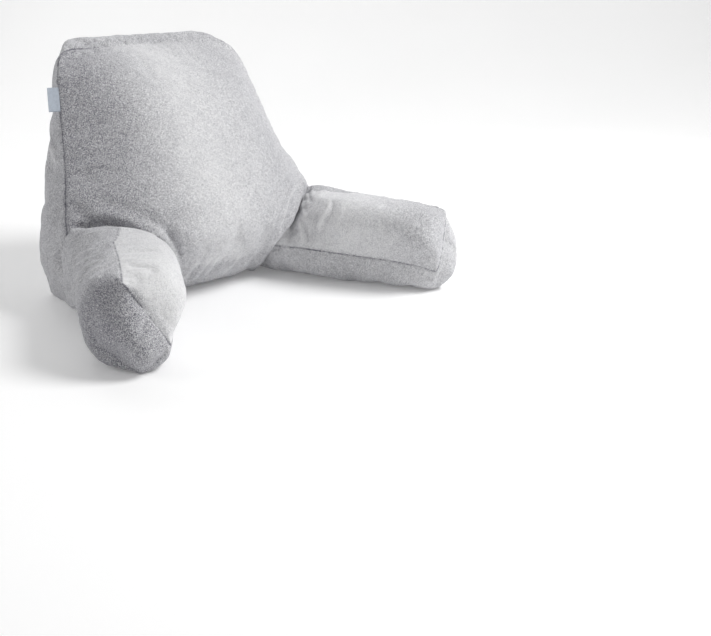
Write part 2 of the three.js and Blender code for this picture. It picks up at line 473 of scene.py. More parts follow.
# Camera, from the photo's view.
PHOTO = (711, 636)
EYE = (-1.1055, -1.5739, 0.5995)
AZIMUTH, ELEVATION, ROLL = -0.70733, 0.28220, 0.004527  # in radians
FOCAL = 1066.4  # in the photo's pixels
CENTRE = (286.6, 257.3)


def camera_axes():
    """The camera's directions to the right, up and back."""
    sa, ca = math.sin(AZIMUTH), math.cos(AZIMUTH)
    se, ce = math.sin(ELEVATION), math.cos(ELEVATION)
    back = Vector((sa * ce, -ca * ce, se))
    level = Vector((ca, sa, 0))
    upright = back.cross(level)
    right = level * math.cos(ROLL) + upright * math.sin(ROLL)
    up = upright * math.cos(ROLL) - level * math.sin(ROLL)
    return right, up, back


def add_camera():
    camera = bpy.data.cameras.new("camera")
    camera.sensor_fit = "HORIZONTAL"
    camera.sensor_width = 36
    camera.lens = FOCAL * camera.sensor_width / PHOTO[0]
    camera.shift_x = (PHOTO[0] / 2 - CENTRE[0]) / PHOTO[0]
    camera.shift_y = (CENTRE[1] - PHOTO[1] / 2) / PHOTO[0]
    camera.clip_start = 0.05
    camera.clip_end = 50
    obj = bpy.data.objects.new("camera", camera)
    bpy.context.scene.collection.objects.link(obj)
    turn = Matrix(camera_axes()).transposed().to_4x4()
    obj.matrix_world = Matrix.Translation(EYE) @ turn
    bpy.context.scene.camera = obj


# Folds, placed by where the camera sees them. Each has its height in millimetres, below zero for a
# hollow, its width in millimetres, and the places in the camera's view that it runs through.
CUSHION_FOLDS = [
    (-7.5, 6.5, [(66, 222), (84, 226), (104, 223), (124, 227), (146, 237)]),
    (-3.0, 4.0, [(84, 221), (100, 219), (118, 221)]),
    (2.6, 5.0, [(140, 222), (156, 228), (168, 240), (178, 262)]),
    (-2.6, 2.8, [(150, 232), (163, 243), (172, 257), (176, 266)]),
    (2.4, 2.8, [(155, 231), (167, 242), (176, 255), (181, 268)]),
    (-2.4, 3.2, [(164, 228), (174, 240), (181, 256), (184, 270)]),
    (2.4, 3.6, [(303, 178), (291, 197), (283, 222), (277, 244)]),
    (-1.2, 2.6, [(299, 177), (286, 196), (278, 220), (273, 240)]),
    (2.8, 3.2, [(181, 284), (190, 272), (201, 259)]),
    (-2.4, 2.8, [(186, 283), (196, 271), (206, 258)]),
    (2.6, 3.2, [(192, 281), (202, 270), (213, 256)]),
    (2.6, 3.2, [(204, 276), (212, 266), (221, 253)]),
    (-2.2, 2.8, [(209, 277), (219, 266), (228, 254)]),
    (2.4, 3.2, [(221, 276), (231, 266), (243, 252)]),
    (2.0, 3.2, [(240, 270), (248, 261), (258, 251)]),
    (-2.0, 4.0, [(79, 47), (88, 43), (99, 39)]),
    (-1.6, 4.0, [(93, 48), (101, 44), (110, 38)]),
    (-1.6, 4.0, [(149, 46), (158, 41), (169, 36)]),
    (2.2, 5.0, [(70, 58), (82, 52), (96, 51)]),
    (-3.0, 5.0, [(47, 132), (53, 140), (58, 150)]),
    (2.4, 5.0, [(48, 144), (53, 155), (57, 168)]),
    (2.2, 3.0, [(68, 262), (70, 284), (75, 306)]),
    (1.8, 2.8, [(63, 270), (66, 290), (72, 306)]),
    (-1.4, 2.4, [(55, 268), (57, 282), (61, 296)]),
]
ARM_FOLDS = {
    "left": [
        (1.8, 2.6, [(80, 237), (96, 231), (107, 230)]),
        (2.0, 2.6, [(71, 264), (82, 253), (100, 248)]),
        (2.0, 2.6, [(72, 271), (82, 261), (104, 254)]),
        (2.2, 2.8, [(74, 282), (80, 272), (92, 264), (107, 260)]),
        (2.0, 2.8, [(76, 293), (81, 281), (93, 270), (111, 264)]),
        (1.8, 3.0, [(79, 304), (84, 291), (95, 279), (110, 272)]),
        (1.2, 3.0, [(119, 262), (131, 268), (146, 270)]),
        (-1.6, 5.0, [(157, 309), (166, 321), (171, 335)]),
        (-1.4, 5.0, [(137, 296), (139, 305), (147, 312)]),
        (-3.2, 2.2, [(173, 345), (172, 351), (170, 357)]),
        (1.6, 3.0, [(166, 343), (168, 351), (167, 359)]),
    ],
    "right": [
        (-2.2, 4.0, [(309, 187), (309, 196), (313, 204)]),
        (2.0, 4.0, [(304, 193), (303, 208), (306, 222)]),
        (1.8, 4.0, [(329, 196), (328, 208), (321, 220), (317, 233)]),
        (-2.0, 4.0, [(333, 198), (332, 209), (326, 221), (322, 235)]),
        (-1.8, 3.6, [(316, 212), (315, 223), (312, 236)]),
        (1.8, 3.0, [(298, 220), (301, 231), (305, 243)]),
        (-1.4, 3.0, [(303, 219), (306, 230), (310, 242)]),
        (1.2, 4.0, [(344, 200), (341, 213), (336, 226)]),
    ],
}


FOLD_SAMPLES = 48
FOLD_LEAST = 6  # a fold that the camera sees at no more samples than this is left out
FOLD_REACH = 3  # how many widths beside its line a fold reaches
FOLD_TAPER = 0.25  # the share of its length over which each end of a fold dies out


def photo_point(tree, x, y):
    """The point of a surface that the camera sees at a pixel, or None."""
    right, up, back = camera_axes()
    way = right * ((x - CENTRE[0]) / FOCAL) - up * ((y - CENTRE[1]) / FOCAL) - back
    hit, _, _, _ = tree.ray_cast(Vector(EYE), way.normalized())
    return hit


def fold_spines(tree, folds):
    """Each fold's height and width in metres, and points along it on the surface."""
    share = np.linspace(0, 1, FOLD_SAMPLES)
    spines = []
    for height, width, pixels in folds:
        keys = np.linspace(0, 1, len(pixels))
        columns = np.array(pixels, float).T
        x, y = (column_at({"t": keys, "v": c}, "t", "v", share) for c in columns)
        hits = [photo_point(tree, px, py) for px, py in zip(x, y)]
        found = [(u, hit) for u, hit in zip(share, hits) if hit is not None]
        if len(found) > FOLD_LEAST:
            spine = np.array([hit for _, hit in found])
            spines.append((height * MM, width * MM, np.array([u for u, _ in found]), spine))
    return spines


def fold_lift(co, spines, flip=1):
    """How far folds lift each point of a surface; flip -1 mirrors them to the other side."""
    lift = np.zeros(len(co))
    for height, width, share, spine in spines:
        line = spine * np.array([flip, 1, 1])
        reach = FOLD_REACH * width
        box = (co > line.min(0) - reach) & (co < line.max(0) + reach)
        near = np.flatnonzero(np.all(box, axis=1))
        if len(near):
            away = np.linalg.norm(co[near][:, None] - line[None], axis=2)
            closest = away.argmin(1)
            u = share[closest]
            taper = smooth(u / FOLD_TAPER) * smooth((1 - u) / FOLD_TAPER)
            distance = away[np.arange(len(near)), closest]
            lift[near] += height * taper * np.exp(-((distance / width) ** 2))
    return lift


# The back cushion.
UNDERSIDE_HELD = 0.6  # how firmly the underside is kept while the cloth is blown up


def back_seam_loops(params, co):
    across, deep, high = params.T
    edge = (np.abs(across) == 1) | (np.abs(high) == 1)
    order = np.arctan2(high, across)
    return [Seam(rim(co, edge & (deep == d), order), True) for d in (-1, 1)]


def make_back():
    params, faces = cube_grid(BACK_GRID)
    obj = mesh_object("back_cover", back_points(params) * MM, faces)
    across, deep, high = params.T
    seam = (np.abs(deep) == 1) & ((np.abs(across) == 1) | (np.abs(high) == 1))
    held = np.where(seam, 1.0, 0.0)
    held = np.maximum(held, np.where(high == -1, UNDERSIDE_HELD, 0))
    for name, values in (("across", across), ("deep", deep), ("high", high)):
        put_attribute(obj.data, name, values)
    blow_up(obj, held, BACK_PRESSURE, BACK_CAP)
    seams = back_seam_loops(params, coords(obj.data))
    refine(obj)
    return obj, seams


# Where an arm's top seam runs on its front panel: across the panel at the root, on its edge later.
ARM_TOP_SEAM = table(
    "reach across",
    [[100, 0.5], [150, 0.47], [185, 0.48], [215, 0.6], [250, 0.85], [300, 1], [460, 1]],
)
PINNED_FROM = 250  # the millimetre along the arm where that seam starts to hold the cloth in
ROOT_GAP = 0.6 * MM  # how far the arm's seam loop stays off the cushion
ROOT_CAP_GAP = 1 * MM  # and the cloth inside that loop
ROOT_SEARCH = (-1, 0.2, 61)  # where along an arm its root is looked for, and at how many points
ARM_REACHES_BACK_TO = -0.22  # behind this y the arm may touch the cushion


def arm_start(w, d, side, tree):
    """Where along the arm one line of its grid comes out of the cushion, from -1 to 1."""
    samples = np.linspace(*ROOT_SEARCH)
    line = np.stack([samples, np.full(len(samples), w), np.full(len(samples), d)], 1)
    points = arm_points(line) * MM * np.array([side, 1, 1])
    gaps = np.array([gap_outside(tree, q) for q in points])
    inside = np.flatnonzero(gaps < ROOT_GAP)
    if not len(inside) or inside[-1] + 1 == len(samples):
        return samples[inside[-1] if len(inside) else 0]
    j = inside[-1]
    part = (ROOT_GAP - gaps[j]) / (gaps[j + 1] - gaps[j])
    return samples[j] + part * (samples[j + 1] - samples[j])


def root_cap(co, wide, deep, rootward, ring, tree):
    """Spreads the points inside the arm's seam loop over the cushion's surface."""
    key = [(round(w, 6), round(d, 6)) for w, d in zip(wide, deep)]
    loop = {key[i]: co[i] for i in np.flatnonzero(rootward & ring)}
    for i in np.flatnonzero(rootward & ~ring):
        w, d = key[i]
        u, v = (w + 1) / 2, (d + 1) / 2
        q = loop[-1.0, d] * (1 - u) + loop[1.0, d] * u + loop[w, -1.0] * (1 - v) + loop[w, 1.0] * v
        q = q - (loop[-1.0, -1.0] * (1 - u) + loop[1.0, -1.0] * u) * (1 - v)
        q = q - (loop[-1.0, 1.0] * (1 - u) + loop[1.0, 1.0] * u) * v
        nearest, normal, _, _ = tree.find_nearest(Vector(q))
        co[i] = np.array(nearest + normal * ROOT_CAP_GAP)


def top_seam_line(co, along, wide, deep, reach):
    """Points along an arm's top seam, on its front panel."""
    line = []
    for step in np.unique(along):
        row = np.flatnonzero((along == step) & (deep == 1))
        row = row[np.argsort(wide[row])]
        at = np.interp(reach[row].mean(), ARM_TOP_SEAM["reach"], ARM_TOP_SEAM["across"])
        line.append([np.interp(at, wide[row], co[row, k]) for k in range(3)])
    return np.array(line)


def make_arm(name, side, tree, filled=True):
    """An arm whose root lies on the cushion, with its seams and the loop where the two meet."""
    params, faces = cube_grid(ARM_GRID, (ARM_CROWDING, 0, 0))
    along, wide, deep = params.T
    rootward = along == -1
    ring = (np.abs(wide) == 1) | (np.abs(deep) == 1)
    starts = {}
    for i in np.flatnonzero(rootward & ring):
        starts[wide[i], deep[i]] = arm_start(wide[i], deep[i], side, tree)
    moved = params.copy()
    for i in np.flatnonzero(ring & (along < 1)):
        start = starts[wide[i], deep[i]]
        moved[i, 0] = start + (along[i] + 1) / 2 * (1 - start)
    first, last = ARM_SECTIONS["along"][0], ARM_SECTIONS["along"][-1]
    reach = first + (moved[:, 0] + 1) / 2 * (last - first)
    co = arm_points(moved) * MM * np.array([side, 1, 1])
    root_cap(co, wide, deep, rootward, ring, tree)
    obj = mesh_object(name, co, faces if side > 0 else faces[:, ::-1])
    top_seam = (wide == 1) & (deep == 1)
    long_seam = (np.abs(wide) == 1) & (np.abs(deep) == 1) & ~(top_seam & (reach < PINNED_FROM))
    end_seam = (along == 1) & (np.abs(deep) == 1)
    if filled:
        held = np.where(long_seam | end_seam | rootward, 1.0, 0.0)
        blow_up(obj, held, ARM_PRESSURE, ARM_CAP)
    co = coords(obj.data)
    edges = [(-1, -1), (-1, 1), (1, -1)]
    seams = [Seam(rim(co, (wide == w) & (deep == d), along), False) for w, d in edges]
    seams.append(Seam(top_seam_line(co, along, wide, deep, reach), False))
    seams += [Seam(rim(co, (along == 1) & (deep == d), wide), False) for d in (-1, 1)]
    root = Seam(rim(co, rootward & ring, np.arctan2(wide, deep)), True)
    columns = {"along": along, "wide": wide, "deep": deep, "reach": reach, "rootward": rootward}
    for key, values in columns.items():
        put_attribute(obj.data, key, values)
    refine(obj)
    return obj, seams, root


def seam_attributes(mesh, found, shown):
    """Keeps each point's distance to the nearest seam, its place along it and how plain it is."""
    distance = np.minimum.reduce([d for d, _ in found])
    place = np.zeros(len(distance))
    plain = np.zeros(len(distance))
    for (d, s), how in zip(found, shown):
        nearest = d == distance
        place = np.where(nearest, s, place)
        plain = np.where(nearest, how, plain)
    put_attribute(mesh, "seam_distance", distance)
    put_attribute(mesh, "seam_place", place)
    put_attribute(mesh, "seam_plain", plain)


def sink(obj, amount):
    """Moves each point in along its normal, and keeps it above the floor."""
    mesh = obj.data
    co = coords(mesh) - normals(mesh) * amount[:, None]
    co[:, 2] = np.maximum(co[:, 2], 0)
    put_coords(mesh, co)


# How plainly the cushion's seams show. The front one is nearly lost along the top but for its left
# corner, and fades at the foot. Levels run from -1 to 1 across and up the panel.
BACK_SEAM_PLAIN = 0.8
TOP_SEAM = {"level": 0.93, "over": 0.05, "faded": 0.88}
LEFT_CORNER = {"level": -0.62, "over": 0.1, "shown": 0.7}
FOOT_SEAM = {"level": -0.86, "over": 0.08, "faded": 0.72}


def front_seam_plain(across, high):
    level, over = TOP_SEAM["level"], TOP_SEAM["over"]
    top = smooth((high - level) / over) * smooth((level - np.abs(across)) / over)
    corner = smooth((LEFT_CORNER["level"] - across) / LEFT_CORNER["over"])
    foot = smooth((FOOT_SEAM["level"] - high) / FOOT_SEAM["over"])
    lost = TOP_SEAM["faded"] - LEFT_CORNER["shown"] * corner
    return 1 - top * lost - FOOT_SEAM["faded"] * foot


# What dresses the cushion, in millimetres unless it says metres.
# Round each arm's root there are a crease, a ridge and a hollow: each has its depth, below zero for
# the ridge, its distance from the root's seam and its width.
ROOT_FORMS = [
    (7, 0, 9),
    (-3, 22, 9),
    (3, 42, 12),
]
ROOT_FORMS_FADE = (0.85, 0.205, 0.03)  # the share lost outside, from which x and over how many metres
ROOT_PUCKERS = {"pucker": 1.6}
ROOT_CREASES = {"pucker": 1.1, "pitch": 6 * MM, "reach": 9 * MM}
GATHERS = {"pucker": 0.9, "pitch": 8 * MM}
GATHERS_FROM = (0.12, 0.04)  # the height in metres where the sides' gathers start, and how softly
GATHERS_TO = (0.35, 0.06)
BACK_LUMPS = [(1.2, 60), (0.5, 22)]
FOOT_LUMPS = [(1.6, 30)]
FOOT_LUMPS_BELOW = (0.07, 0.05)  # the height in metres that they stay under, and how softly
SEAM_REACH = 60 * MM
ROOT_REACH = 90 * MM
SEAM_DEPTH_SHARES = (0.25, 0.75)  # of a seam's depth: always there, and where it shows plainly
BACK_SEEDS = {"seam": 11, "gathers": 15, "root": 51, "creases": 55, "lumps": 5, "foot": 7}
SEED_STEP = 10


def root_forms(co, distance):
    """How far the cushion sinks round an arm's root."""
    total = np.zeros(len(co))
    for depth, away, width in ROOT_FORMS:
        total += depth * MM * np.exp(-(((distance - away * MM) / (width * MM)) ** 2))
    lost, start, over = ROOT_FORMS_FADE
    return total * (1 - lost * smooth((np.abs(co[:, 0]) - start) / over))


def dress_back(obj, seams, roots, spines):
    co = coords(obj.data)
    height = co[:, 2]
    across, high = (get_attribute(obj.data, name) for name in ("across", "high"))
    found = [seam.near(co, SEAM_REACH) for seam in seams]
    shown = [front_seam_plain(across, high), np.full(len(co), BACK_SEAM_PLAIN)]
    gathered = smooth((height - GATHERS_FROM[0]) / GATHERS_FROM[1])
    gathered *= smooth((GATHERS_TO[0] - height) / GATHERS_TO[1])
    total = np.zeros(len(co))
    for k, ((d, s), how) in enumerate(zip(found, shown)):
        depth = SEAM_DEPTH * (SEAM_DEPTH_SHARES[0] + SEAM_DEPTH_SHARES[1] * how)
        total += seam_dip(d, s, BACK_SEEDS["seam"] + SEED_STEP * k, depth=depth)
        total += gathered * seam_dip(d, s, BACK_SEEDS["gathers"] + SEED_STEP * k, **GATHERS)
    for k, root in enumerate(roots):
        d, s = root.near(co, ROOT_REACH)
        total += root_forms(co, d)
        total += seam_dip(d, s, BACK_SEEDS["root"] + SEED_STEP * k, **ROOT_PUCKERS)
        total += seam_dip(d, s, BACK_SEEDS["creases"] + SEED_STEP * k, **ROOT_CREASES)
    total += lumps(co, BACK_LUMPS, BACK_SEEDS["lumps"])
    low = smooth((FOOT_LUMPS_BELOW[0] - height) / FOOT_LUMPS_BELOW[1])
    total += low * lumps(co, FOOT_LUMPS, BACK_SEEDS["foot"])
    lift = fold_lift(co, spines)
    sink(obj, total - lift)
    seam_attributes(obj.data, found, shown)
    # The painted light and shade of each point, for the cloth's colour.
    put_attribute(obj.data, "painted_shading", cushion_painted_shading(obj.data) + fold_painted_shading(lift))


def keep_clear(obj, tree):
    """Moves the points of an arm that would be in the cushion to just outside it."""
    co = coords(obj.data)
    for i in np.flatnonzero(co[:, 1] > ARM_REACHES_BACK_TO):
        nearest, normal, _, _ = tree.find_nearest(Vector(co[i]))
        if (Vector(co[i]) - nearest).dot(normal) < ROOT_GAP:
            co[i] = np.array(nearest + normal * ROOT_GAP)
    co[:, 2] = np.maximum(co[:, 2], 0)
    put_coords(obj.data, co)


# How plainly each of an arm's seams shows: low back, low front, top back and top front along it,
# and then the back and front ones round its end.
ARM_SEAMS_PLAIN = (0.5, 1.0, 0.8, 0.95, 0.25, 1.0)

# Painted light and shade: how much lighter or darker each panel of an arm is painted, for how light
# falls on it; a row for each panel of an arm.
ARM_PAINTED_SHADING = {
    "left": {"front": 0.38, "far": -0.2, "strip": -0.02, "under": 0.0, "end": -0.46},
    "right": {"front": 0.38, "far": 0.32, "strip": 0.02, "under": 0.08, "end": 0.42},
}
# Painted highlight on the crests of folds and painted shade in their hollows.
FOLD_PAINTED_SHADING = 0.22
FOLD_PAINTED_SHADING_FULL = 2 * MM  # the height of a fold that shows its full tone
FOLD_PAINTED_SHADE_DARKEST = -0.35
# Painted shade on the cushion's side strips.
SIDE_PAINTED_SHADE = -0.03
# Painted light and shade across the cushion's front panel, darker to its left: a row for each level
# across.
CUSHION_PAINTED_SHADING = table(
    "across tone",
    [
        [-1, -0.29],
        [-0.72, -0.23],
        [-0.42, 0.04],
        [-0.12, 0.33],
        [0.2, 0.18],
        [0.6, 0.03],
        [1, 0.16],
    ],
)
FACE_FROM = (0.94, 0.06)  # the level of the grid from which a point is on a panel's face
END_TONE_FROM = (0.5, 0.46)  # the level along an arm where the end's tone starts, and how much later
END_TONE_LATER = (0.8, 0.2)  # beside the front panel, from this level
FAR_TONE_FROM = (290, 150)  # the millimetre along an arm where the far tone starts


def fold_painted_shading(lift):
    """A painted highlight on the crest of a fold, a little lighter, and painted shade in a hollow,
    darker.
    """
    return FOLD_PAINTED_SHADING * np.clip(lift / FOLD_PAINTED_SHADING_FULL, FOLD_PAINTED_SHADE_DARKEST, 1)


def arm_painted_shading(mesh, tones):
    """The painted light and shade of each point of an arm, from the panel that it lies on."""
    along, wide, deep, reach = (get_attribute(mesh, c) for c in ("along", "wide", "deep", "reach"))
    edge = np.interp(reach, ARM_TOP_SEAM["reach"], ARM_TOP_SEAM["across"])
    front = smooth((deep - FACE_FROM[0]) / FACE_FROM[1]) * smooth((edge - wide) / 0.05 + 0.5)
    under = smooth((-wide - FACE_FROM[0]) / FACE_FROM[1])
    beside_front = smooth((deep - END_TONE_LATER[0]) / END_TONE_LATER[1])
    start = END_TONE_FROM[0] + END_TONE_FROM[1] * beside_front
    end = smooth((along - start) / (1 - start))
    end *= 0.3 + 0.7 * smooth(0.5 + 0.45 * wide - 0.4 * deep)
    far = smooth((reach - FAR_TONE_FROM[0]) / FAR_TONE_FROM[1])
    tone = tones["strip"] + (tones["front"] - tones["far"] * far - tones["strip"]) * front
    tone = tone + (tones["under"] - tone) * under
    return tone + (tones["end"] - tone) * end


def cushion_painted_shading(mesh):
    """The painted light and shade of each point of the cushion: its front panel is painted darker to
    the left.
    """
    across, deep = (get_attribute(mesh, c) for c in ("across", "deep"))
    front = smooth((-0.9 - deep) / 0.1)
    side = smooth((np.abs(across) - 0.98) / 0.02)
    tone = column_at(CUSHION_PAINTED_SHADING, "across", "tone", across)
    return tone * front + SIDE_PAINTED_SHADE * side * (1 - front)


# What dresses an arm, in millimetres. Its seeds count on from that of its side.
ARM_ROOT_PUCKERS = {"pucker": 2.2, "reach": 30 * MM}
ARM_LUMPS = [(1.0, 50), (0.4, 20)]
ARM_SEAM_REACH = 50 * MM
ARM_ROOT_KEPT = 6 * MM  # this close to its root's seam the arm keeps its shape
ARM_SEEDS = {"left": 200, "right": 500}
ARM_ROOT_SEED = 90
ARM_LUMPS_SEED = 1


def dress_arm(obj, seams, root, seed, lift, tones):
    co = coords(obj.data)
    found = [seam.near(co, ARM_SEAM_REACH) for seam in seams]
    total = np.zeros(len(co))
    for k, (d, s) in enumerate(found):
        total += seam_dip(d, s, seed + SEED_STEP * k, depth=ARM_SEAM_DEPTH)
    root_distance, root_place = root.near(co, ROOT_REACH)
    total += seam_dip(root_distance, root_place, seed + ARM_ROOT_SEED, **ARM_ROOT_PUCKERS)
    total += lumps(co, ARM_LUMPS, seed + ARM_LUMPS_SEED)
    total -= lift
    rootward = get_attribute(obj.data, "rootward")
    total *= smooth(root_distance / ARM_ROOT_KEPT) * (rootward < 0.5)
    sink(obj, total)
    shown = [np.full(len(co), how) for how in ARM_SEAMS_PLAIN]
    seam_attributes(obj.data, found, shown)
    # The painted light and shade of each point, for the cloth's colour.
    put_attribute(obj.data, "painted_shading", arm_painted_shading(obj.data, tones) + fold_painted_shading(lift))


# Materials.
class Nodes:
    def __init__(self, name):
        self.material = bpy.data.materials.new(name)
        self.material.use_nodes = True
        self.tree = self.material.node_tree
        self.tree.nodes.clear()
        self.shader = self.add("ShaderNodeBsdfPrincipled")
        output = self.add("ShaderNodeOutputMaterial")
        self.link(self.shader.outputs[0], output.inputs["Surface"])

    def add(self, kind):
        return self.tree.nodes.new(kind)

    def link(self, a, b):
        self.tree.links.new(a, b)

    def place(self):
        return self.add("ShaderNodeTexCoord").outputs["Object"]

    def attribute(self, name):
        node = self.add("ShaderNodeAttribute")
        node.attribute_name = name
        return node.outputs["Fac"]

    def set(self, values):
        for name, value in values.items():
            self.shader.inputs[name].default_value = value

    def noise(self, vector, scale, detail, roughness):
        node = self.add("ShaderNodeTexNoise")
        node.inputs["Scale"].default_value = scale
        node.inputs["Detail"].default_value = detail
        node.inputs["Roughness"].default_value = roughness
        self.link(vector, node.inputs["Vector"])
        return node.outputs[0]

    def spread(self, value, low, high, to_low, to_high):
        node = self.add("ShaderNodeMapRange")
        node.interpolation_type = "SMOOTHSTEP"
        self.link(value, node.inputs["Value"])
        for name, x in (("From Min", low), ("From Max", high), ("To Min", to_low), ("To Max", to_high)):
            node.inputs[name].default_value = x
        return node.outputs[0]

    def math(self, operation, a, b=None):
        node = self.add("ShaderNodeMath")
        node.operation = operation
        for socket, x in zip(node.inputs, (a, b)):
            if x is None:
                continue
            if isinstance(x, (int, float)):
                socket.default_value = x
            else:
                self.link(x, socket)
        return node.outputs[0]

    def ramp(self, value, stops):
        node = self.add("ShaderNodeValToRGB")
        elements = node.color_ramp.elements
        while len(elements) < len(stops):
            elements.new(0.5)
        for element, (position, colour) in zip(elements, stops):
            element.position = position
            element.color = (*colour, 1)
        self.link(value, node.inputs[0])
        return node.outputs[0]

    def bump(self, height, strength, distance):
        node = self.add("ShaderNodeBump")
        node.inputs["Strength"].default_value = strength
        node.inputs["Distance"].default_value = distance
        self.link(height, node.inputs["Height"])
        self.link(node.outputs[0], self.shader.inputs["Normal"])


# The plush: its noises with their scale, detail and roughness, and how far each moves the tone.
SPECKLE, SPECKLE_TONE = (760, 3.0, 0.75), 0.60
TUFTS, TUFTS_TONE = (190, 2.0, 0.5), 0.09
NAP, NAP_TONE = (38, 3.0, 0.55), 0.04
CLOUDS, CLOUDS_TONE = (9, 2.0, 0.5), 0.03
WEAR = (55, 2.0, 0.6)
# How much painted light lessens the speckle, and painted shade strengthens it.
PAINTED_SHADING_HIDES_SPECKLE = 0.9
SEAM_LINE = (0.0006, 0.0025)  # the distances in metres between which a seam's thread fades out
SEAM_TONE = 0.85
STITCH = 0.0034
PLUSH_COLOURS = [
    (0.0, (0.13, 0.127, 0.155)),
    (0.5, (0.545, 0.545, 0.565)),
    (1.0, (0.90, 0.90, 0.905)),
]
PLUSH_SHADER = {
    "Specular IOR Level": 0.2,
    "Sheen Weight": 0.35,
    "Sheen Roughness": 0.45,
    "Sheen Tint": (0.95, 0.95, 1, 1),
}


def seam_thread(n, place):
    """How strongly the thread of a seam shows: worn in places, and in stitches."""
    line = n.spread(n.attribute("seam_distance"), *SEAM_LINE, 1.0, 0.0)
    turn = n.math("MULTIPLY", n.attribute("seam_place"), 2 * math.pi / STITCH)
    stitch = n.spread(n.math("SINE", turn), -0.6, 0.6, 0.7, 1.0)
    worn = n.spread(n.noise(place, *WEAR), 0.38, 0.56, 0.35, 1.0)
    shown = n.math("MULTIPLY", n.attribute("seam_plain"), worn)
    return n.math("MULTIPLY", n.math("MULTIPLY", line, stitch), shown)


def plush():
    n = Nodes("plush")
    place = n.place()
    speckle, tufts, nap, clouds = (n.noise(place, *kind) for kind in (SPECKLE, TUFTS, NAP, CLOUDS))
    # The painted light and shade of each point lightens or darkens the cloth's colour.
    painted_shading = n.attribute("painted_shading")
    grain = n.math("SUBTRACT", 1.0, n.math("MULTIPLY", painted_shading, PAINTED_SHADING_HIDES_SPECKLE))
    tone = n.spread(speckle, 0.34, 0.66, -SPECKLE_TONE, SPECKLE_TONE)
    tone = n.math("ADD", n.math("MULTIPLY", tone, grain), painted_shading)
    for noise, size in ((tufts, TUFTS_TONE), (nap, NAP_TONE), (clouds, CLOUDS_TONE)):
        tone = n.math("ADD", tone, n.spread(noise, 0.3, 0.7, -size, size))
    tone = n.math("SUBTRACT", tone, n.math("MULTIPLY", seam_thread(n, place), SEAM_TONE))
    level = n.math("ADD", n.math("MULTIPLY", tone, 0.7), 0.5)
    n.link(n.ramp(level, PLUSH_COLOURS), n.shader.inputs["Base Color"])
    n.link(n.spread(nap, 0.2, 0.8, 0.86, 0.98), n.shader.inputs["Roughness"])
    n.set(PLUSH_SHADER)
    n.bump(n.math("ADD", n.math("MULTIPLY", speckle, 0.7), tufts), 0.8, 0.0022)
    return n.material


# The label: a tape folded in half, its fold outwards, as one thin closed strip. In millimetres.
LABEL_UP = (0.54, 0.74)  # the levels of the left front seam between which it is caught
LABEL_WIDTH = 18
LABEL_THICK = 0.9
LABEL_LAYER = 0.38  # how thick each layer of the tape is
LABEL_ROOT = 1.5  # how far it reaches into the seam
LABEL_CURL = 2.5
LABEL_OUT = np.array([-0.87, 0.49, 0])
LABEL_ROWS = 25
TAPE_PITCHES = (0.0007, 0.0006)  # metres from thread to thread, up the tape and across it
TAPE_COLOURS = [(0.2, (0.34, 0.385, 0.45)), (0.8, (0.52, 0.57, 0.64))]


def tape():
    n = Nodes("label_tape")
    place = n.place()
    split = n.add("ShaderNodeSeparateXYZ")
    n.link(place, split.inputs[0])
    threads = [
        n.math("SINE", n.math("MULTIPLY", split.outputs[axis], 2 * math.pi / pitch))
        for axis, pitch in zip((2, 0), TAPE_PITCHES)
    ]
    weave = n.math("MULTIPLY", *threads)
    fuzz = n.noise(place, 300, 2.0, 0.5)
    level = n.math("ADD", n.math("MULTIPLY", weave, 0.12), n.spread(fuzz, 0.3, 0.7, 0.4, 0.6))
    n.link(n.ramp(level, TAPE_COLOURS), n.shader.inputs["Base Color"])
    n.link(n.spread(fuzz, 0.2, 0.8, 0.5, 0.7), n.shader.inputs["Roughness"])
    n.set({"Sheen Weight": 0.2})
    n.bump(weave, 0.4, 0.0002)
    return n.material


def label_outline():
    """The tape's section: how far each point is out of the seam, and to the side."""
    edge = LABEL_THICK / 2
    inner = edge - LABEL_LAYER
    reach = np.linspace(-LABEL_ROOT, LABEL_WIDTH - edge / 2, 18)
    turn = np.linspace(-math.pi / 2, math.pi / 2, 9)[1:-1]
    outline = [(r, -edge) for r in reach]
    outline += [(reach[-1] + edge * math.cos(t), edge * math.sin(t)) for t in turn]
    outline += [(r, edge) for r in reach[::-1]]
    outline += [(r, inner) for r in reach[:-1]]
    outline += [(r, -inner) for r in reach[:-1][::-1]]
    return np.array(outline)


def close_ends(mesh, count):
    """Closes the first and the last ring of a strip whose rings have count points each."""
    bm = bmesh.new()
    bm.from_mesh(mesh)
    points = bm.verts[:]
    bm.faces.new(points[:count])
    bm.faces.new(points[-count:][::-1])
    bmesh.ops.triangulate(bm, faces=[f for f in bm.faces if len(f.verts) > 4])
    bmesh.ops.recalc_face_normals(bm, faces=bm.faces[:])
    bm.to_mesh(mesh)
    bm.free()


def make_label():
    outline = label_outline()
    face = np.array([-LABEL_OUT[1], LABEL_OUT[0], 0])
    face /= np.linalg.norm(face)
    share = np.clip((outline[:, 0] + LABEL_ROOT) / (LABEL_WIDTH + LABEL_ROOT), 0, 1)
    points = []
    for h in np.linspace(0, 1, LABEL_ROWS):
        up = LABEL_UP[0] + (LABEL_UP[1] - LABEL_UP[0]) * h
        seam = back_points(np.array([[-1.0, -1.0, up]]))[0]
        wave = LABEL_CURL * share**2 + 0.5 * share * math.sin(3 * h + 0.6)
        points.append(seam + outline[:, :1] * LABEL_OUT + (outline[:, 1] + wave)[:, None] * face)
    n = len(outline)
    around = np.arange(n)
    after = (around + 1) % n
    strip = np.stack([around, after, after + n, around + n], 1)
    faces = np.concatenate([strip + row * n for row in range(LABEL_ROWS - 1)])
    obj = mesh_object("folded_label", np.concatenate(points) * MM, faces)
    close_ends(obj.data, n)
    return obj


def smooth_shaded(obj):
    obj.data.polygons.foreach_set("use_smooth", [True] * len(obj.data.polygons))
    obj.data.update()


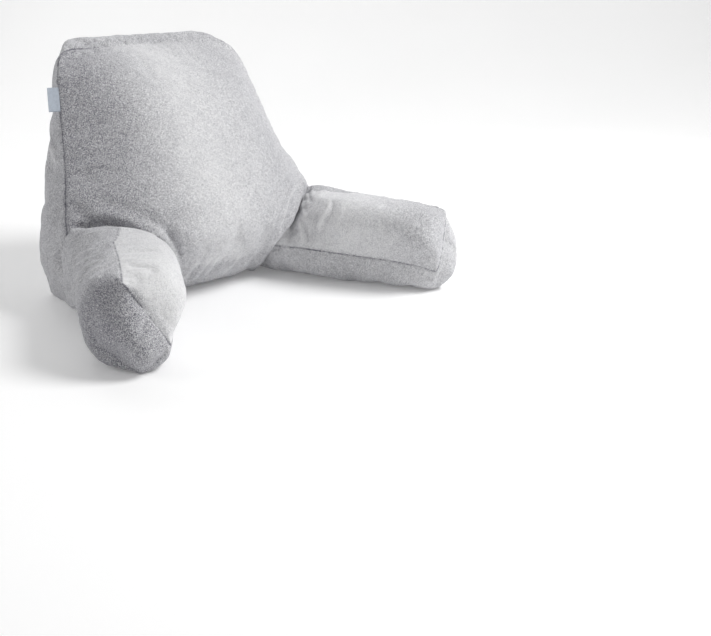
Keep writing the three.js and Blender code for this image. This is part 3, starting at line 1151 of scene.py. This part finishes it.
# Floor, backdrop and lights, in metres.
FLOOR_SIZE = 8.0
BACKDROP_FROM = 1.6
BACKDROP_BEND = 1.6
FLOOR_COLOURS = [(0.3, (0.93, 0.93, 0.93)), (0.7, (0.95, 0.95, 0.95))]
FLOOR_SHADER = {
    "Roughness": 0.9,
    "Specular IOR Level": 0.1,
    "Emission Color": (1, 1, 1, 1),
    "Emission Strength": 0.10,
}


def add_stage():
    """A floor that bends up into a backdrop behind the pillow."""
    profile = [(-FLOOR_SIZE, 0.0)]
    for t in np.linspace(0, math.pi / 2, 13):
        across = BACKDROP_FROM + BACKDROP_BEND * math.sin(t)
        profile.append((across, BACKDROP_BEND * (1 - math.cos(t))))
    profile.append((BACKDROP_FROM + BACKDROP_BEND, FLOOR_SIZE))
    away = Vector((-math.sin(AZIMUTH), math.cos(AZIMUTH), 0))
    side = Vector((math.cos(AZIMUTH), math.sin(AZIMUTH), 0))
    points = []
    for k in (-1, 1):
        edge = side * (k * FLOOR_SIZE)
        points += [away * a + edge + Vector((0, 0, z)) for a, z in profile]
    n = len(profile)
    faces = [[i, n + i, n + i + 1, i + 1] for i in range(n - 1)]
    floor = mesh_object("floor", np.array(points), np.array(faces))
    smooth_shaded(floor)
    nodes = Nodes("floor")
    tone = nodes.noise(nodes.place(), 2.0, 2.0, 0.5)
    nodes.link(nodes.ramp(tone, FLOOR_COLOURS), nodes.shader.inputs["Base Color"])
    nodes.set(FLOOR_SHADER)
    floor.data.materials.append(nodes.material)


def add_light(name, place, target, size, power):
    light = bpy.data.lights.new(name, "AREA")
    light.shape = "DISK"
    light.size = size
    light.energy = power
    obj = bpy.data.objects.new(name, light)
    bpy.context.scene.collection.objects.link(obj)
    way = Vector(target) - Vector(place)
    obj.matrix_world = Matrix.Translation(place) @ way.to_track_quat("-Z", "Y").to_matrix().to_4x4()


# Each light: its direction round the pillow from the front towards the right and its height, in
# degrees, its distance and size in metres, and its power in watts.
LIGHTS = {
    "key": (41, 45, 3.0, 1.4, 68),
    "back": (165, 42, 3.0, 1.6, 15),
    "left": (-115, 28, 3.0, 1.6, 14),
}
LIT_POINT = (0, 0, 0.15)
WORLD_LIGHT = 0.33


def light_scene():
    world = bpy.data.worlds.new("world")
    world.use_nodes = True
    background = world.node_tree.nodes["Background"]
    background.inputs["Color"].default_value = (1, 1, 1, 1)
    background.inputs["Strength"].default_value = WORLD_LIGHT
    bpy.context.scene.world = world
    target = Vector(LIT_POINT)
    for name, (round_degrees, height, distance, size, power) in LIGHTS.items():
        a, e = math.radians(round_degrees), math.radians(height)
        way = Vector((math.cos(e) * math.sin(a), -math.cos(e) * math.cos(a), math.sin(e)))
        add_light(name, target + way * distance, target, size, power)
    bpy.context.scene.view_settings.view_transform = "Standard"


add_camera()
cushion, cushion_seams = make_back()
first_tree = bvh_of(cushion)
drafts = [make_arm("draft_" + name, side, first_tree, False) for name, side in SIDES.items()]
roots = [root for _, _, root in drafts]
dress_back(cushion, cushion_seams, roots, fold_spines(first_tree, CUSHION_FOLDS))
for draft, _, _ in drafts:
    bpy.data.objects.remove(draft)
final_tree = bvh_of(cushion)
cloth = plush()
pieces = {"back_cushion": cushion}
arms = {name: make_arm("arm_cover_" + name, side, final_tree) for name, side in SIDES.items()}
spines = {name: fold_spines(bvh_of(arm), ARM_FOLDS[name]) for name, (arm, _, _) in arms.items()}
for name, other in (("left", "right"), ("right", "left")):
    arm, arm_seams, root = arms[name]
    points = coords(arm.data)
    lift = fold_lift(points, spines[name]) + MIRRORED_FOLDS * fold_lift(points, spines[other], -1)
    dress_arm(arm, arm_seams, root, ARM_SEEDS[name], lift, ARM_PAINTED_SHADING[name])
    keep_clear(arm, final_tree)
    pieces["arm_" + name] = arm
for node, piece in pieces.items():
    piece.data.materials.append(cloth)
    smooth_shaded(piece)
    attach(piece, "root")
    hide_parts(node)
label = make_label()
label.data.materials.append(tape())
smooth_shaded(label)
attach(label, "root")
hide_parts("side_label")
add_stage()
light_scene()
